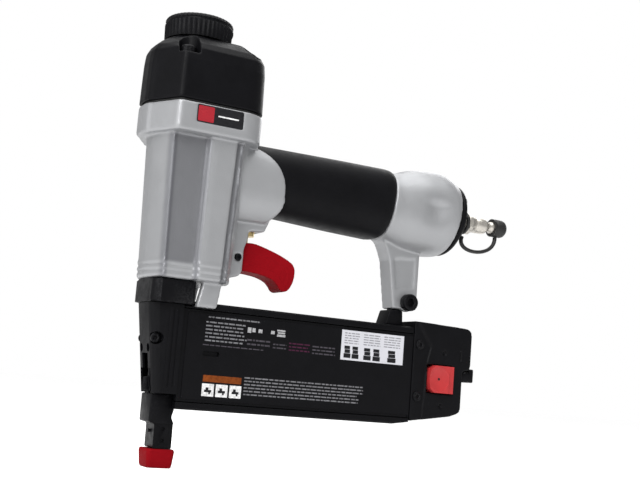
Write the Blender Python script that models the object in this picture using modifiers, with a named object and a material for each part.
"""Pneumatic brad nailer, modelled as an assembly of separate solids.

Lengths in this script are millimetres; the helpers convert them, so the scene is in metres, +Z up.
X runs from the nose to the air plug, Z up along the barrel, Y across the tool.
Every position is measured from the drive axis (the line that the driver blade strokes along) and
from the bottom face of the nose tip. The empty "tool_origin" carries that axis, DRIVE_X in front of
the world origin, so that the world origin lies on the tip's flat face, beside the nail exit.
"""
import math

import bmesh
import bpy
from mathutils import Matrix, Vector

MM = 0.001
GAP = 0.3                 # clearance between pieces that touch
DRIVE_X = -4.5            # drive axis seen from the world origin

# housing
BARREL_BOTTOM, BARREL_TOP = 101.0, 183.0
BARREL_HALF_Y = 25.0
FLANGE_BOTTOM, FLANGE_TOP = 180.0, 197.0
BORE_R = 18.6             # return air chamber around the cylinder
HANDLE_Z = 163.0
FAIRING_X, FAIRING_Z, FAIRING_R = 29.7, 157.7, 23.9
GRIP_REAR, GRIP_TOP = 131.0, 183.0
GRIP_REAR_LEAN = 7.0      # degrees, the grip's rear edge comes forward at the bottom
BULGE_Z = 161.2
BULGE_END_X = 172.9
BULGE_TILT = 7.0          # degrees, the rear face leans back at the top
POST_HALF_Y = 6.5
PLUG_Z = 161.5
END_CAP_SCREWS = ((-15.2, 171.5), (15.2, 171.5), (-15.2, 151.5), (15.2, 151.5))     # Y, Z

# top cap
CAP_TOP = 237.0
CAP_HALF_Y = 29.0
CAP_SCREWS = ((-13.0, -22.5), (-13.0, 22.5), (25.0, -20.5), (25.0, 20.5))                # X, Y
DEFLECTOR_R, DEFLECTOR_BOTTOM, DEFLECTOR_TOP = 19.6, 237.4, 250.2

# drive train
CYLINDER_R, CYLINDER_BORE_R = 15.6, 14.0
CYLINDER_BOTTOM, CYLINDER_TOP = 116.0, 198.0
PISTON_BOTTOM, PISTON_TOP = 186.0, 196.5
BLADE_TIP_Z = 84.0
BLADE_HALF_X, BLADE_HALF_Y = 0.65, 2.8

# trigger and valve
TRIGGER_PIN_X, TRIGGER_PIN_Z = 32.2, 118.0
TRIGGER_HALF_Y = 7.2
VALVE_X = 40.0

# nose and work contact
STUD_X = -8.2             # axis of the depth wheel and the work contact rod
WHEEL_BOTTOM, WHEEL_TOP = 40.4, 47.9
SNOUT_BOTTOM, SNOUT_TOP = 14.0, 52.0
NOSE_TOP = 100.6
NOSE_SCREWS = ((-13.0, -13.5), (-13.0, 13.5), (2.0, -13.5), (2.0, 13.5))               # X, Y
COVER_SCREWS = ((-10.6, 69.8),)                                                        # X, Z

# magazine
RAIL_FRONT, RAIL_REAR = 2.4, 149.5
NOSE_CLEAR_X = 6.6        # the rail is notched round the nose in front of this
RAIL_BOTTOM, RAIL_TOP = 31.8, 90.2
END_REAR = 191.5
BUTTON_X, BUTTON_Z = 169.5, 60.2
BOLT_X, BOLT_Z = 147.7, 105.0

COLOURS = {               # base colour, metallic, roughness
    "cast_metal": ((0.40, 0.41, 0.43), 0.6, 0.38),
    "black_plastic": ((0.012, 0.012, 0.014), 0.0, 0.45),
    "black_steel": ((0.02, 0.02, 0.022), 0.7, 0.4),
    "rubber": ((0.010, 0.010, 0.011), 0.0, 0.75),
    "red_plastic": ((0.40, 0.008, 0.015), 0.0, 0.35),
    "steel": ((0.55, 0.55, 0.56), 1.0, 0.3),
    "brass": ((0.66, 0.46, 0.18), 1.0, 0.3),
    "aluminium": ((0.62, 0.62, 0.64), 1.0, 0.35),
    "amber_rubber": ((0.25, 0.14, 0.05), 0.0, 0.6),
}

# ---------------------------------------------------------------- scene set-up

for old in list(bpy.data.objects):
    bpy.data.objects.remove(old, do_unlink=True)

parts = bpy.data.collections.new("brad_nailer")
cutters = bpy.data.collections.new("brad_nailer_cutters")
bpy.context.scene.collection.children.link(parts)
bpy.context.scene.collection.children.link(cutters)

tool_origin = bpy.data.objects.new("tool_origin", None)
tool_origin.location = (DRIVE_X * MM, 0.0, 0.0)
parts.objects.link(tool_origin)


def make_material(name):
    """A Principled material with the colour, metallic and roughness listed for it."""
    if name in bpy.data.materials:
        return bpy.data.materials[name]
    colour, metallic, roughness = COLOURS[name]
    material = bpy.data.materials.new(name)
    material.use_nodes = True
    shader = material.node_tree.nodes["Principled BSDF"]
    shader.inputs["Base Color"].default_value = (*colour, 1.0)
    shader.inputs["Metallic"].default_value = metallic
    shader.inputs["Roughness"].default_value = roughness
    return material


def add_object(name, data, origin, material):
    """Place data in the scene. A piece with no material is a cutter."""
    obj = bpy.data.objects.new(name, data)
    obj.parent = tool_origin
    obj.location = Vector(origin) * MM
    if material:
        data.materials.append(make_material(material))
        parts.objects.link(obj)
    else:
        obj.hide_render = True
        obj.display_type = 'WIRE'
        cutters.objects.link(obj)
    return obj


def from_bmesh(name, bm, origin=(0, 0, 0), material=None):
    """An object from a bmesh in millimetres, seen from the drive axis, with its own origin."""
    bmesh.ops.translate(bm, verts=bm.verts, vec=-Vector(origin))
    bmesh.ops.scale(bm, verts=bm.verts, vec=(MM, MM, MM))
    bmesh.ops.recalc_face_normals(bm, faces=bm.faces)
    mesh = bpy.data.meshes.new(name)
    bm.to_mesh(mesh)
    bm.free()
    mesh.shade_smooth()
    mesh.set_sharp_from_angle(angle=math.radians(35))
    return add_object(name, mesh, origin, material)


# ---------------------------------------------------------------- shapes

AXES = {
    "X": Matrix(((0, 0, 1), (1, 0, 0), (0, 1, 0))).to_4x4(),
    "Y": Matrix(((0, 1, 0), (0, 0, 1), (1, 0, 0))).to_4x4(),
    "Z": Matrix.Identity(4),
}


def box(name, x, y, z, material=None, origin=(0, 0, 0), tilt=0.0):
    """A box between the limits x, y and z, each (low, high), turned about Y by tilt degrees."""
    bm = bmesh.new()
    centre = Vector((sum(x) / 2, sum(y) / 2, sum(z) / 2))
    size = (x[1] - x[0], y[1] - y[0], z[1] - z[0])
    turn = Matrix.Rotation(math.radians(tilt), 4, 'Y')
    matrix = Matrix.Translation(centre) @ turn @ Matrix.Diagonal((*size, 1))
    bmesh.ops.create_cube(bm, size=1, matrix=matrix)
    return from_bmesh(name, bm, origin, material)


def cylinder(name, axis, centre, radius, low, high, material=None, origin=(0, 0, 0), sides=20):
    """A cylinder along an axis from low to high.

    centre gives the two coordinates across the axis, in X, Y, Z order.
    """
    bm = bmesh.new()
    bmesh.ops.create_cone(bm, cap_ends=True, segments=sides, radius1=radius, radius2=radius, depth=high - low)
    along = (low + high) / 2
    place = {"X": (along, *centre), "Y": (centre[0], along, centre[1]), "Z": (*centre, along)}[axis]
    bmesh.ops.transform(bm, verts=bm.verts, matrix=Matrix.Translation(place) @ AXES[axis])
    return from_bmesh(name, bm, origin, material)


def prism(name, axis, outline, low, high, material=None, origin=(0, 0, 0)):
    """A flat outline extruded along an axis. Outline points are the other two, in X, Y, Z order."""
    place = {"X": lambda a, b, t: (t, a, b), "Y": lambda a, b, t: (a, t, b), "Z": lambda a, b, t: (a, b, t)}
    sections = [[place[axis](a, b, t) for a, b in outline] for t in (low, high)]
    return loft(name, sections, material, origin)


def loft(name, sections, material=None, origin=(0, 0, 0)):
    """Faces between sections of equal point counts, closed at both ends."""
    bm = bmesh.new()
    rings = [[bm.verts.new(point) for point in section] for section in sections]
    count = len(rings[0])
    for ring, following in zip(rings, rings[1:]):
        for i in range(count):
            j = (i + 1) % count
            bm.faces.new((ring[i], ring[j], following[j], following[i]))
    bm.faces.new(rings[0])
    bm.faces.new(rings[-1])
    return from_bmesh(name, bm, origin, material)


def turned(name, axis, centre, profile, material=None, origin=None, steps=24):
    """A profile of (radius, height) points, outer side first from top to bottom, turned about an axis."""
    start = {"X": (0, *centre), "Y": (centre[0], 0, centre[1]), "Z": (*centre, 0)}[axis]
    origin = origin or start
    offset = (Vector(start) - Vector(origin)).dot(Vector(AXES[axis].col[2][:3]))
    bm = bmesh.new()
    points = [bm.verts.new((r * MM, 0, (h + offset) * MM)) for r, h in profile]
    for first, second in zip(points, points[1:]):
        bm.edges.new((first, second))
    if profile[0][0] > 0:
        bm.edges.new((points[-1], points[0]))
    mesh = bpy.data.meshes.new(name)
    bm.to_mesh(mesh)
    bm.free()
    obj = add_object(name, mesh, origin, material)
    obj.rotation_euler = AXES[axis].to_euler()
    screw = obj.modifiers.new("turn", 'SCREW')
    screw.steps = steps
    screw.render_steps = steps
    screw.use_merge_vertices = True
    screw.merge_threshold = 0.00001
    return obj


def coil(name, axis, centre, radius, wire, turns, low, high, material, origin=None):
    """A compression spring of round wire between low and high."""
    place = {"X": lambda a, b, t: (t, a, b), "Y": lambda a, b, t: (a, t, b), "Z": lambda a, b, t: (a, b, t)}
    per_turn = 6
    steps = turns * per_turn
    curve = bpy.data.curves.new(name, 'CURVE')
    curve.dimensions = '3D'
    curve.bevel_depth = wire / 2 * MM
    curve.bevel_resolution = 0
    curve.use_fill_caps = True
    spline = curve.splines.new('POLY')
    spline.points.add(steps)
    origin = origin or place[axis](*centre, low)
    for i in range(steps + 1):
        angle = math.tau * i / per_turn
        along = low + wire / 2 + (high - low - wire) * i / steps
        point = place[axis](centre[0] + radius * math.cos(angle), centre[1] + radius * math.sin(angle), along)
        spline.points[i].co = (*((Vector(point) - Vector(origin)) * MM), 1)
    return add_object(name, curve, origin, material)


def cut(obj, *tools):
    """Take each tool's shape out of obj."""
    for tool in tools:
        boolean = obj.modifiers.new("cut " + tool.name, 'BOOLEAN')
        boolean.operation = 'DIFFERENCE'
        boolean.solver = 'EXACT'
        boolean.object = tool


def join(obj, *tools):
    """Weld each tool's shape onto obj."""
    for tool in tools:
        boolean = obj.modifiers.new("join " + tool.name, 'BOOLEAN')
        boolean.operation = 'UNION'
        boolean.solver = 'EXACT'
        boolean.object = tool


def keep_inside(obj, tool):
    """Keep only what obj shares with tool."""
    boolean = obj.modifiers.new("keep " + tool.name, 'BOOLEAN')
    boolean.operation = 'INTERSECT'
    boolean.solver = 'EXACT'
    boolean.object = tool


def bevel(obj, width, segments=2, angle=35):
    """Round the edges sharper than angle."""
    modifier = obj.modifiers.new("round", 'BEVEL')
    modifier.width = width * MM
    modifier.segments = segments
    modifier.limit_method = 'ANGLE'
    modifier.angle_limit = math.radians(angle)


def oval(x, half_y, half_z, centre_z, sides=28, power=2.4):
    """A superellipse across X."""
    points = []
    for i in range(sides):
        angle = math.tau * i / sides
        c, s = math.cos(angle), math.sin(angle)
        y = half_y * math.copysign(abs(c) ** (2 / power), c)
        z = half_z * math.copysign(abs(s) ** (2 / power), s)
        points.append((x, y, centre_z + z))
    return points


def mirrored(half):
    """A closed outline in X and Y from its -Y half, listed front to rear."""
    return half + [(x, -y) for x, y in reversed(half)]


def at_height(outline, z):
    return [(x, y, z) for x, y in outline]


def cap_outline(inset=0.0):
    """Bowed front, straight sides and rounded rear corners, shared by the cap and the flange."""
    half_y = CAP_HALF_Y - inset
    half = [(-29.0 + inset, -4.0), (-26.5 + inset, -10.5), (-17.0 + inset * 0.7, -half_y + 0.8),
            (-15.0 + inset * 0.7, -half_y)]
    corner_r, rear = 13.5 - inset * 0.6, 36.0 - inset
    for i in range(5):
        angle = math.radians(90 - i * 20)
        half.append((rear - corner_r * (1 - math.cos(angle)), -half_y + corner_r * (1 - math.sin(angle))))
    return mirrored(half)


def hex_socket(name, axis, centre, radius, low, high):
    """A cutter for an internal hexagon drive."""
    return cylinder(name, axis, centre, radius, low, high, sides=6)


# ---------------------------------------------------------------- housing

def barrel_outline(taper, grow=0.0):
    """Barrel in plan: bowed front, a sunk panel on each side and a groove before the handle.

    taper is 1 at the top; the barrel narrows towards the nose.
    """
    y = BARREL_HALF_Y
    half = [(-22.8, -4.0), (-21.2, -9.5), (-18.9, -15.5), (-16.7, -20.8), (-15.4, -y + 2.2),
            (-14.4, -y + 3.4), (3.4, -y + 3.4), (4.8, -y + 0.8), (8.0, -y), (20.2, -y), (21.3, -y + 1.8),
            (23.0, -y + 1.8), (24.2, -y + 0.5), (29.5, -17.0), (32.0, -8.0)]
    side = 1 - (1 - taper) * 0.35
    return mirrored([(x * taper - (grow if x < 0 else 0), py * side - grow) for x, py in half])


def make_barrel():
    ribs = ((BARREL_BOTTOM, 0.4), (104.2, 0.4), (104.7, 0.0), (105.8, 0.0), (106.3, 0.4), (109.2, 0.4),
            (109.8, 0.0), (BARREL_TOP, 0.0))
    sections = []
    for z, grow in ribs:
        taper = 0.87 + 0.13 * (z - BARREL_BOTTOM) / (BARREL_TOP - BARREL_BOTTOM)
        sections.append(at_height(barrel_outline(taper, grow), z))
    return loft("housing", sections, "cast_metal")


def make_flange():
    """Band at the barrel's top that carries the cap."""
    levels = ((FLANGE_BOTTOM, 0.6), (FLANGE_BOTTOM + 1.5, 0.0), (FLANGE_TOP - 0.6, 0.0))
    return loft("flange form", [at_height(cap_outline(inset), z) for z, inset in levels])


def make_fairing():
    """Rounded shoulder between the barrel and the grip."""
    fairing = loft("fairing form", [oval(x, 20.5, 25.5, 160.5) for x in (8, 60)])
    keep_inside(fairing, cylinder("fairing disc", "Y", (FAIRING_X, FAIRING_Z), FAIRING_R, -24, 24, sides=40))
    return fairing


def grip_rear_lean(z):
    """How far behind its top the grip's rear edge is at height z."""
    return math.tan(math.radians(GRIP_REAR_LEAN)) * (z - GRIP_TOP)


def make_bulge():
    """Round swelling behind the grip that ends in the end cap's seat."""
    stations = ((GRIP_REAR + GAP, 17.5, 21.6, 162.6, 1.0), (135.5, 18.2, 22.5, 162.4, 0.9),
                (143, 20.4, 25.1, 162.4, 0.6), (150, 22.4, 26.3, 162.5, 0.3), (158, 23.8, 26.8, 162.5, 0.0),
                (165, 24.4, 26.6, 162.8, 0.0), (170, 24.2, 25.3, 162.4, 0.0), (174, 23.4, 23.6, 161.6, 0.0),
                (190, 22.0, 22.0, BULGE_Z, 0.0))
    sections = []
    for x, half_y, half_z, centre_z, lean in stations:
        section = oval(x, half_y, half_z, centre_z, sides=28, power=2.15)
        sections.append([(px + lean * grip_rear_lean(pz), py, pz) for px, py, pz in section])
    bulge = loft("bulge form", sections)
    turn = math.radians(BULGE_TILT)
    reach = 40.0
    centre = (BULGE_END_X + reach * math.cos(turn), BULGE_Z - reach * math.sin(turn))
    behind = box("bulge end cut", (centre[0] - reach, centre[0] + reach), (-40, 40),
                 (centre[1] - 60, centre[1] + 60), tilt=BULGE_TILT)
    cut(bulge, behind)
    return bulge


def make_post():
    """Leg from the bulge down to the magazine, forked for the bracket's tongue."""
    outline = [(138.0, 100.6), (155.0, 101.2), (155.0, 136.0), (158.0, 141.0), (156.0, 150.0),
               (131.8, 150.0), (127.0, 142.6), (130.6, 136.5), (133.4, 130.0)]
    post = prism("post form", "Y", outline, -POST_HALF_Y, POST_HALF_Y)
    bevel(post, 1.2)
    return post


def make_housing():
    housing = make_barrel()
    handle_core = loft("handle core form", [oval(x, 15.3, 19.8, HANDLE_Z) for x in (12, 140)])
    boss = prism("trigger boss form", "Y", [(18, 103.5), (27, 106), (35.8, 109.4), (37.6, 113), (37.6, 133),
                                            (49.4, 131.8), (51.0, 140.9), (47.6, 141.1), (46, 152),
                                            (18, 152)], -11, 11)
    bevel(boss, 1.0)
    join(housing, make_flange(), make_fairing(), boss, handle_core, make_bulge(), make_post())
    join(housing, cylinder("bolt boss form", "Y", (BOLT_X, BOLT_Z), 5.6, -POST_HALF_Y, POST_HALF_Y))
    for name, y, foot in (("near", (-20.0, -15.2), 87.0), ("far", (15.2, 20.0), RAIL_TOP + GAP)):
        outline = [(10.0, 101.5), (6.8, foot), (18.6, foot), (20.6, 101.5)]
        join(housing, prism("lug form " + name, "Y", outline, *y))
    cut(housing,
        cylinder("barrel bore", "Z", (0, 0), BORE_R, 108.0, 205.0, sides=28),
        cylinder("driver passage", "Z", (0, 0), 5.0, 95.0, 110.0),
        loft("air chamber", [oval(x, 13.3, 17.6, HANDLE_Z, sides=24) for x in (14, 200)]),
        box("trigger slot", (26.3, 60), (-TRIGGER_HALF_Y - 0.4, TRIGGER_HALF_Y + 0.4), (100, 131)),
        cylinder("trigger pin hole", "Y", (TRIGGER_PIN_X, TRIGGER_PIN_Z), 2.2, -15, 15, sides=10),
        cylinder("valve bore", "Z", (VALVE_X, 0), 5.8, 125, 150),
        box("fork slot", (139.2, 165), (-3.4, 3.4), (95, 113)),
        cylinder("bolt hole", "Y", (BOLT_X, BOLT_Z), 2.9, -15, 15, sides=10))
    for side, name in ((-1, "near"), (1, "far")):
        y = sorted((side * (POST_HALF_Y - 0.9), side * 12))
        cut(housing, prism("post panel " + name, "Y",
                           [(142.5, 113.5), (152.6, 113.5), (152.6, 131), (140.2, 131)], *y))
    for index, (x, y) in enumerate(CAP_SCREWS):
        cut(housing, cylinder(f"flange hole {index}", "Z", (x, y), 2.3, 186, 205, sides=10))
    for index, (x, y) in enumerate(NOSE_SCREWS):
        cut(housing, cylinder(f"barrel foot hole {index}", "Z", (x, y), 2.2, 95, 107, sides=10))
    return housing


make_housing()


# ---------------------------------------------------------------- top cap and head valve

def make_top_cap():
    levels = ((FLANGE_TOP + 0.6, 0.0), (220.0, 0.5), (227.0, 1.6), (231.0, 4.2), (234.0, 7.6),
              (CAP_TOP, 12.5))
    cap = loft("top_cap", [at_height(cap_outline(inset), z) for z, inset in levels], "black_plastic")
    cut(cap, cylinder("cap chamber", "Z", (0, 0), 22.0, 190, 228, sides=28))
    for index in range(3):
        angle = math.radians(60 + 120 * index)
        centre = (9.5 * math.cos(angle), 9.5 * math.sin(angle))
        cut(cap, cylinder(f"exhaust passage {index}", "Z", centre, 3.4, 222, 250, sides=10))
    cut(cap, cylinder("deflector screw hole", "Z", (0, 0), 2.2, 230, 250, sides=10))
    for index, (x, y) in enumerate(CAP_SCREWS):
        cut(cap, cylinder(f"cap screw hole {index}", "Z", (x, y), 2.3, 190, 230, sides=10))
        cut(cap, cylinder(f"cap screw pocket {index}", "Z", (x, y), 4.7, 223.5, 250, sides=16))


def make_cap_screws():
    for index, (x, y) in enumerate(CAP_SCREWS):
        name = f"cap_screw_{index + 1}"
        screw = turned(name, "Z", (x, y), [(0, 227.8), (3.4, 227.8), (3.8, 227.2), (3.8, 223.9), (2.0, 223.9),
                                           (2.0, 187), (0, 187)], "black_steel", steps=12)
        cut(screw, hex_socket(name + " socket", "Z", (x, y), 1.9, 225.6, 232))


def make_cap_gasket():
    gasket = prism("cap_gasket", "Z", cap_outline(1.2), FLANGE_TOP - 0.3, FLANGE_TOP + 0.3, "rubber")
    cut(gasket, cylinder("gasket opening", "Z", (0, 0), 20.0, 190, 205, sides=32))
    for index, (x, y) in enumerate(CAP_SCREWS):
        cut(gasket, cylinder(f"gasket hole {index}", "Z", (x, y), 2.4, 190, 205, sides=10))


def make_deflector():
    """Ribbed round cap that turns to send the exhaust air away from the user."""
    ribs = 24
    outline = []
    for i in range(ribs * 2):
        angle = math.tau * i / (ribs * 2)
        radius = DEFLECTOR_R if i % 2 else DEFLECTOR_R - 0.8
        outline.append((radius * math.cos(angle), radius * math.sin(angle)))
    lower = [(x * 0.985, y * 0.985) for x, y in outline]
    rim = [(x * 0.93, y * 0.93) for x, y in outline]
    sections = [at_height(lower, DEFLECTOR_BOTTOM), at_height(outline, 242.0),
                at_height(outline, DEFLECTOR_TOP - 1.2), at_height(rim, DEFLECTOR_TOP)]
    deflector = loft("exhaust_deflector", sections, "black_plastic")
    cut(deflector,
        cylinder("deflector chamber", "Z", (0, 0), 16.0, 230, 245.0, sides=24),
        cylinder("deflector dish", "Z", (0, 0), 13.0, 248.4, 260, sides=24),
        cylinder("deflector hole", "Z", (0, 0), 2.4, 230, 260, sides=10),
        box("deflector vent", (8, 30), (-9, 9), (238.8, 244.5)))
    profile = [(0, 250.2), (3.8, 250.2), (4.6, 249.4), (4.6, 248.7), (2.0, 248.7), (2.0, 231.5), (0, 231.5)]
    screw = turned("deflector_screw", "Z", (0, 0), profile, "black_steel", steps=12)
    cut(screw, hex_socket("deflector screw socket", "Z", (0, 0), 2.1, 249.0, 258))


def make_head_valve():
    turned("head_valve", "Z", (0, 0), [(21.4, 214), (21.4, 211.6), (19.6, 211.6), (19.6, 208.4),
                                       (21.4, 208.4),
                                       (21.4, 206), (18, 205), (18, 198.4), (13, 198.4), (13, 204), (8, 206),
                                       (8, 214)], "aluminium")
    turned("head_valve_o_ring", "Z", (0, 0), [(21.7, 210.8), (21.7, 209.2), (20.8, 208.7), (19.9, 209.2),
                                              (19.9, 210.8), (20.8, 211.3)], "rubber", steps=24)
    coil("head_valve_spring", "Z", (0, 0), 17.0, 1.8, 3, 214.3, 227.7, "steel")


make_top_cap()
make_cap_screws()
make_cap_gasket()
make_deflector()
make_head_valve()


# ---------------------------------------------------------------- cylinder and driver

def make_drive_train():
    turned("cylinder", "Z", (0, 0), [(18.3, CYLINDER_TOP), (18.3, 194.6), (CYLINDER_R, 193.4),
                                     (CYLINDER_R, CYLINDER_BOTTOM), (CYLINDER_BORE_R, CYLINDER_BOTTOM),
                                     (CYLINDER_BORE_R, CYLINDER_TOP)], "aluminium")
    turned("cylinder_seal", "Z", (0, 0), [(18.3, 154), (18.3, 150), (15.9, 150), (15.9, 154)], "rubber")
    turned("bumper", "Z", (0, 0), [(15.2, 115.7), (17.5, 112), (17.5, 108.3), (4.6, 108.3), (4.6, 115.7)],
           "amber_rubber", steps=24)
    turned("piston", "Z", (0, 0), [(0, PISTON_TOP), (13.6, PISTON_TOP), (13.6, 193.5), (12.2, 193.5),
                                   (12.2, 190.7), (13.6, 190.7), (13.6, PISTON_BOTTOM), (0, PISTON_BOTTOM)],
           "aluminium")
    turned("piston_o_ring", "Z", (0, 0), [(13.8, 193.0), (13.8, 191.2), (12.5, 191.2), (12.5, 193.0)],
           "rubber")
    box("driver_blade", (-BLADE_HALF_X, BLADE_HALF_X), (-BLADE_HALF_Y, BLADE_HALF_Y),
        (BLADE_TIP_Z, PISTON_BOTTOM - GAP), "steel")


make_drive_train()


# ---------------------------------------------------------------- handle

def make_grip():
    """Rubber sleeve whose front edge follows the round shoulder of the housing."""
    stations = ((36.6, 18.0, 21.7, 0.0), (60, 18.3, 21.9, 0.0), (95, 18.6, 22.2, 0.3),
                (GRIP_REAR - 5, 18.6, 22.2, 1.0),
                (GRIP_REAR - 2, 18.1, 21.7, 1.0), (GRIP_REAR, 17.2, 20.9, 1.0))
    sections = []
    for x, half_y, half_z, lean in stations:
        section = oval(x, half_y, half_z, 163.4, sides=28)
        sections.append([(px + lean * grip_rear_lean(pz), py, pz) for px, py, pz in section])
    grip = loft("grip_sleeve", sections, "rubber")
    cut(grip, loft("grip bore", [oval(x, 15.6, 20.1, HANDLE_Z, sides=28) for x in (20, 140)]),
        cylinder("grip front edge", "Y", (FAIRING_X, FAIRING_Z), FAIRING_R + GAP, -30, 30, sides=40))


def make_end_cap():
    pivot = (BULGE_END_X, 0, BULGE_Z)
    turn = Matrix.Rotation(math.radians(BULGE_TILT), 4, 'Y') @ AXES["X"]
    seal, face = BULGE_END_X + GAP, BULGE_END_X + 1.2
    gasket = turned("end_cap_gasket", "X", (0, BULGE_Z), [(22.4, seal + 0.6), (22.4, seal), (18.6, seal),
                                                          (18.6, seal + 0.6)], "rubber", origin=pivot)
    gasket.rotation_euler = turn.to_euler()
    profile = [(0, 12.8), (8.0, 12.8), (9.2, 11.8), (12.4, 5.8), (15.0, 4.3), (21.8, 3.3), (23.0, 2.1),
               (23.0, 0), (0, 0)]
    cap = turned("end_cap", "X", (0, BULGE_Z), [(radius, face + height) for radius, height in profile],
                 "black_plastic", origin=pivot)
    cap.rotation_euler = turn.to_euler()
    cut(cap, cylinder("plug hole", "X", (0, PLUG_Z), 6.0, 170, 200))
    for index, (y, z) in enumerate(END_CAP_SCREWS):
        cut(cap, cylinder(f"end cap hole {index}", "X", (y, z), 1.9, 170, 200, sides=8),
            cylinder(f"end cap pocket {index}", "X", (y, z), 3.4, end_screw_seat(z) - GAP, 200, sides=10))


def end_screw_seat(z):
    """X under the head of an end cap screw, which follows the leaning rear face."""
    return BULGE_END_X + 4.0 + math.tan(math.radians(BULGE_TILT)) * (z - BULGE_Z)


def make_end_cap_screws():
    for index, (y, z) in enumerate(END_CAP_SCREWS):
        seat = end_screw_seat(z)
        head = seat + 2.2
        turned(f"end_cap_screw_{index + 1}", "X", (y, z),
               [(0, head), (2.2, head), (2.9, head - 0.7), (2.9, seat),
                                                          (1.5, seat), (1.5, seat - 2.4), (0, seat - 2.4)],
               "black_steel", steps=10)


def make_air_plug():
    profile = [(2.4, 215.4), (3.5, 215.0), (3.8, 214.2), (3.8, 211.2), (3.1, 210.2), (3.1, 208.2),
               (4.5, 206.6), (5.2, 204.6), (5.2, 194.4), (5.6, 194.0), (5.6, 179.0), (2.4, 179.0)]
    plug = turned("air_plug", "X", (0, PLUG_Z), profile, "steel", steps=16)
    join(plug, cylinder("plug hexagon", "X", (0, PLUG_Z), 6.9, 191.4, 194.4, sides=6))
    profile = [(7.3, 190.9), (7.3, 188.7), (5.95, 188.7), (5.95, 190.9)]
    turned("strap_ring", "X", (0, PLUG_Z), profile, "rubber", steps=20)
    profile = [(0, 222.0), (3.8, 222.0), (5.2, 221.2), (5.8, 219.4), (5.8, 212.2), (4.2, 212.2), (4.2, 216.2),
               (0, 216.2)]
    turned("dust_cap", "X", (0, PLUG_Z), profile, "rubber", steps=24)


def make_strap():
    """Thin moulded strap that hangs in a loop from the ring to the dust cap."""
    curve = bpy.data.curves.new("cap_strap", 'CURVE')
    curve.dimensions = '3D'
    curve.bevel_depth = 1.2 * MM
    curve.bevel_resolution = 2
    curve.use_fill_caps = True
    spline = curve.splines.new('POLY')
    start, end = Vector((189.8, 0, 152.6)), Vector((215.0, 0, 154.1))
    pull_down, pull_up = Vector((184.0, 0, 140.2)), Vector((216.0, 0, 142.0))
    steps = 20
    spline.points.add(steps)
    for i in range(steps + 1):
        t = i / steps
        point = (start * (1 - t) ** 3 + pull_down * 3 * t * (1 - t) ** 2
                 + pull_up * 3 * t * t * (1 - t) + end * t ** 3)
        spline.points[i].co = (*(point * MM), 1)
    add_object("cap_strap", curve, (0, 0, 0), "rubber")


make_grip()
make_end_cap()
make_end_cap_screws()
make_air_plug()
make_strap()


# ---------------------------------------------------------------- trigger and its valve

def make_trigger():
    outline = [(28.2, 113.6), (27.4, 121), (31, 125.6), (38.0, 127.5), (44.5, 127.5), (56, 124.4),
               (64.5, 121.2), (68.8, 118), (70.2, 114), (69.3, 108), (67, 103.6), (64, 101.8),
               (61.2, 102.6), (59.2, 105.3),
               (56.5, 107.6), (51, 109.5), (44, 110.4), (36, 110.9), (31, 111.3)]
    pin = (TRIGGER_PIN_X, 0, TRIGGER_PIN_Z)
    trigger = prism("trigger", "Y", outline, -TRIGGER_HALF_Y, TRIGGER_HALF_Y, "red_plastic", pin)
    bevel(trigger, 1.6, segments=3)
    cut(trigger, cylinder("trigger bore", "Y", pin[::2], 2.2, -15, 15, sides=10))
    cylinder("trigger_pin", "Y", pin[::2], 1.9, -11.4, 11.4, "black_steel", sides=10)


def make_trigger_valve():
    body = [(5.5, 150), (5.5, 134.5), (4.9, 134.0), (4.9, 131.8), (2.1, 131.8), (2.1, 136), (3.7, 137),
            (3.7, 150)]
    turned("valve_body", "Z", (VALVE_X, 0), body, "brass", steps=24)
    stem = [(0, 147), (1.6, 147), (1.6, 139.5), (3.2, 139.5), (3.2, 137.6), (1.6, 137.6), (1.6, 127.9),
            (0, 127.9)]
    turned("valve_stem", "Z", (VALVE_X, 0), stem, "brass", steps=12)
    coil("valve_spring", "Z", (VALVE_X, 0), 2.8, 0.7, 6, 139.8, 149.7, "steel")


make_trigger()
make_trigger_valve()


# ---------------------------------------------------------------- nose and work contact

def cover_front(z):
    """X of the nose cover's leaning front face at height z."""
    return -9.8 - (z - 23.5) * 0.131


def make_nose_body():
    flange = [(-18.4, -8.0), (-16.2, -15.0), (-13.0, -19.0), (5.5, -19.0), (6.2, -18.0), (6.2, 18.0),
              (5.5, 19.0), (-13.0, 19.0), (-16.2, 15.0), (-18.4, 8.0)]
    body = prism("nose_body", "Z", flange, 88.0, NOSE_TOP, "black_steel")
    bevel(body, 0.8)
    join(body,
         box("spring housing form", (-12.5, 6.2), (-8, 8), (60.5, 90)),
         box("blade guide form", (-2.7, 6.2), (-8, 8), (SNOUT_TOP, 62)),
         box("snout form", (-2.2, 2.2), (-5, 5), (SNOUT_BOTTOM, SNOUT_TOP + 1)))
    for index, (x, z) in enumerate(COVER_SCREWS):
        join(body, cylinder(f"cover boss {index}", "Y", (x, z), 3.4, -12.4, 12.4, sides=10))
        for side, name in ((-1, "near"), (1, "far")):
            y = sorted((side * 5.0, side * 20))
            cut(body, cylinder(f"cover boss hole {index} {name}", "Y", (x, z), 1.4, *y, sides=10))
    cut(body,
        box("blade channel", (-1.0, 1.0), (-3.1, 3.1), (5, 110)),
        cylinder("rod pocket", "Z", (STUD_X, 0), 3.6, 55, 94, sides=20),
        box("brad entry", (0.5, 10), (-0.9, 0.9), (34, 84)))
    for index, (x, y) in enumerate(NOSE_SCREWS):
        cut(body, cylinder(f"nose screw hole {index}", "Z", (x, y), 2.2, 80, 110, sides=10),
            cylinder(f"nose screw pocket {index}", "Z", (x, y), 3.7, 80, 91.6, sides=10))
        name = f"nose_screw_{index + 1}"
        profile = [(0, 106.7), (1.9, 106.7), (1.9, 91.3), (3.4, 91.3), (3.4, 88.2), (0, 88.2)]
        turned(name, "Z", (x, y), profile, "black_steel", steps=10)


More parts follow.
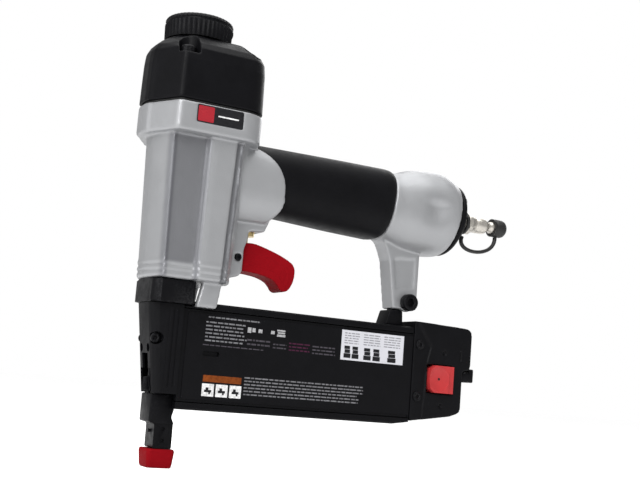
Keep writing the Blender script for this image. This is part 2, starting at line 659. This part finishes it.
def make_nose_cover():
    top, bottom, wall = 87.7, 39.6, 1.8
    outline = [(cover_front(bottom), bottom), (2.0, bottom), (2.0, top), (cover_front(top), top)]
    cover = prism("nose_cover", "Y", outline, -15, 15, "black_plastic")
    bevel(cover, 1.4)
    inner = [(cover_front(30) + wall, 30), (10, 30), (10, 95), (cover_front(95) + wall, 95)]
    cut(cover, prism("nose cover inside", "Y", inner, -12.7, 12.7),
        box("wheel window", (-25, -9.0), (-6, 6), (30, 61)))
    number = 1
    for x, z in COVER_SCREWS:
        for side, name in ((-1, "near"), (1, "far")):
            y = sorted((side * 8.0, side * 20))
            cut(cover, cylinder(f"cover screw hole {number}", "Y", (x, z), 1.5, *y, sides=10))
            outer, inner_y = side * 16.3, side * 15.3
            if side < 0:
                profile = [(0, -5.3), (1.2, -5.3), (1.2, inner_y), (2.5, inner_y), (2.5, outer), (0, outer)]
            else:
                profile = [(0, outer), (2.5, outer), (2.5, inner_y), (1.2, inner_y), (1.2, 5.3), (0, 5.3)]
            screw = turned(f"cover_screw_{number}", "Y", (x, z), profile, "black_steel", steps=12)
            socket = sorted((side * 15.7, side * 20))
            cut(screw, hex_socket(f"cover screw socket {number}", "Y", (x, z), 1.2, *socket))
            number += 1


def make_work_contact():
    """Foot that lifts when the nose is pressed on the work, with its rod and depth wheel."""
    outline = [(-5.6, 10.3), (5.0, 10.3), (4.8, 24), (3.2, 27), (4.2, 31), (4.2, 39.2), (-9.6, 39.2),
               (-9.6, 24.2), (-5.8, 23.4)]
    origin = (STUD_X, 0, 36)
    foot = prism("work_contact", "Y", outline, -8.3, 8.3, "black_steel", origin)
    bevel(foot, 0.8)
    join(foot, cylinder("contact rod form", "Z", (STUD_X, 0), 1.5, 35, 80, sides=10),
         cylinder("rod collar form", "Z", (STUD_X, 0), 3.2, 61.2, 63.0, sides=20))
    cut(foot,
        box("near step", (-20, 20), (-20, -6.8), (5, 23.6)),
        box("far step", (-20, 20), (6.8, 20), (5, 23.6)),
        box("snout passage", (-2.6, 2.6), (-5.4, 5.4), (0, 45)),
        box("brad entry in the foot", (2, 10), (-1.2, 1.2), (30, 45)))
    coil("work_contact_spring", "Z", (STUD_X, 0), 2.5, 0.8, 8, 63.3, 93.7, "steel")
    tip = loft("no_mar_tip", [at_height(rounded_tip(scale), z) for z, scale in
                              ((0.0, 0.86), (1.0, 0.91), (8.6, 1.0), (10.0, 0.97))], "red_plastic")
    cut(tip, box("tip passage", (-2.6, 2.6), (-5.4, 5.4), (1.6, 20)),
        box("nail exit", (-1.8, 1.8), (-3.6, 3.6), (-5, 5)))
    wheel_outline = []
    for i in range(24):
        radius = 5.2 if i % 2 else 4.7
        angle = math.tau * i / 24
        wheel_outline.append((STUD_X + radius * math.cos(angle), radius * math.sin(angle)))
    wheel = prism("depth_wheel", "Z", wheel_outline, WHEEL_BOTTOM, WHEEL_TOP, "black_steel",
                  (STUD_X, 0, WHEEL_BOTTOM))
    cut(wheel, cylinder("wheel bore", "Z", (STUD_X, 0), 1.8, 35, 55, sides=10))


def rounded_tip(scale):
    """Tip in plan, a rectangle with rounded corners about its own centre."""
    centre_x, half_x, half_y, corner = -0.8, 8.0, 8.8, 2.6
    points = []
    for turn, (sx, sy) in enumerate(((1, 1), (-1, 1), (-1, -1), (1, -1))):
        for step in range(4):
            angle = math.radians(90 * turn + 30 * step)
            x = sx * (half_x - corner) + corner * math.cos(angle)
            y = sy * (half_y - corner) + corner * math.sin(angle)
            points.append((centre_x + x * scale, y * scale))
    return points


make_nose_body()
make_nose_cover()
make_work_contact()


# ---------------------------------------------------------------- magazine

def make_rail():
    """Fixed rail with an open side, closed by the sliding cover."""
    low, high = RAIL_BOTTOM, RAIL_TOP
    section = [(13.8, low + 1), (12.8, low), (-13.2, low), (-14.2, low + 1), (-14.2, low + 3.9),
               (4, low + 3.9), (4, high - 3.8), (-14.2, high - 3.8), (-14.2, high - 1), (-13.2, high),
               (12.8, high), (13.8, high - 1)]
    rail = prism("magazine_rail", "X", section, RAIL_FRONT, RAIL_REAR, "black_steel")
    join(rail, box("rail end wall form", (145.5, RAIL_REAR), (-8.6, 5), (low + 2, high - 2)))
    cut(rail, prism("rail tail slope", "Y", [(136, 31.4), (155, 34.4), (155, 20), (136, 20)], -30, 30),
        box("nose notch", (0, NOSE_CLEAR_X), (-8.9, 8.9), (20, 95)),
        box("nose flange notch", (0, NOSE_CLEAR_X), (-25, 25), (87.5, 95)))


def make_slide():
    """Sliding cover, its rear end with the latch, and what is fastened to them."""
    cover = box("magazine_cover", (RAIL_FRONT + 0.2, 149.8), (-13.4, -9.0), (36.1, 86.0), "black_plastic")
    bevel(cover, 0.6)
    join(cover, box("cover tongue form", (148, 158.5), (-11.7, -9.0), (46, 84)))
    end_outline = [(150.2, 34.2), (178.0, 38.3), (184.5, 40.6), (185.8, 43.5), (185.8, 66.2), (190.6, 67.4),
                   (END_REAR, 70), (END_REAR, 89.5), (189.0, 92.6), (150.2, 94.0)]
    end = prism("slide_end", "Y", end_outline, -15.2, 15.2, "black_plastic")
    bevel(end, 1.3)
    cut(end, box("slide end inside", (140, 181.5), (-12, 12), (44, 88)),
        box("button window", (160.2, 179.0), (-20, -10), (51.6, 68.8)))
    button_outline = [(178.6, 52.0), (178.6, 68.4), (164.5, 68.4), (161.8, 66.4), (160.6, 62.6),
                      (160.6, 57.8), (161.8, 54.0), (164.5, 52.0)]
    button = prism("latch_button", "Y", button_outline, -17.6, -7.0, "red_plastic", (BUTTON_X, -12, BUTTON_Z))
    bevel(button, 0.8)
    coil("latch_spring", "Y", (BUTTON_X, BUTTON_Z), 4.0, 0.8, 5, -6.7, 11.7, "steel")
    tab = box("release_tab", (186.1, 195.4), (-13.5, -3.0), (59.9, 65.8), "black_plastic")
    join(tab, box("tab nub form", (191.9, 195.4), (-13.5, -3.0), (65, 68.2)))
    bevel(tab, 0.8)
    for index, z in enumerate((49.0, 80.0)):
        x = 154.2
        cut(end, cylinder(f"slide screw hole {index}", "Y", (x, z), 1.5, -20, -11, sides=10))
        cut(cover, cylinder(f"tongue screw hole {index}", "Y", (x, z), 1.5, -20, -8, sides=10))
        profile = [(0, -9.2), (1.2, -9.2), (1.2, -15.5), (2.8, -15.5), (2.8, -16.3), (2.2, -16.8), (0, -16.8)]
        turned(f"slide_screw_{index + 1}", "Y", (x, z), profile, "black_steel", steps=12)


def make_pusher():
    pusher = box("pusher", (9.5, 25.5), (-8.4, 3.6), (36.3, 85.8), "steel")
    bevel(pusher, 0.8)
    coil("pusher_spring", "X", (-2.2, 60.0), 4.2, 0.9, 12, 25.8, 145.2, "steel")


def make_bracket():
    """Block on the rail whose tongue enters the post's fork, with its bolt and nut."""
    foot = RAIL_TOP + GAP
    block = prism("magazine_bracket", "Y", [(133.6, foot), (146.0, foot), (145.4, 99.8), (136.4, 99.8)],
                  -6.4, 6.4, "black_plastic")
    bevel(block, 0.8)
    tongue = [(139.5, 98.0), (145.0, 98.0), (146.2, 101.0), (153.2, 101.0), (153.2, 109.0), (151.0, 111.5),
              (139.5, 111.5)]
    join(block, prism("tongue form", "Y", tongue, -3.1, 3.1))
    cut(block, cylinder("tongue hole", "Y", (BOLT_X, BOLT_Z), 2.9, -10, 10, sides=10))
    profile = [(0, 11.6), (2.0, 11.6), (2.6, 11.0), (2.6, -6.8), (5.2, -6.8), (5.2, -11.2), (4.6, -11.8),
               (0, -11.8)]
    bolt = turned("bracket_bolt", "Y", (BOLT_X, BOLT_Z), profile, "black_steel")
    cut(bolt, hex_socket("bolt socket", "Y", (BOLT_X, BOLT_Z), 2.5, -14, -9.0))
    nut = cylinder("bracket_nut", "Y", (BOLT_X, BOLT_Z), 5.0, 6.8, 10.6, "black_steel", sides=6)
    cut(nut, cylinder("nut thread", "Y", (BOLT_X, BOLT_Z), 2.9, 0, 20, sides=10))


make_rail()
make_slide()
make_pusher()
make_bracket()
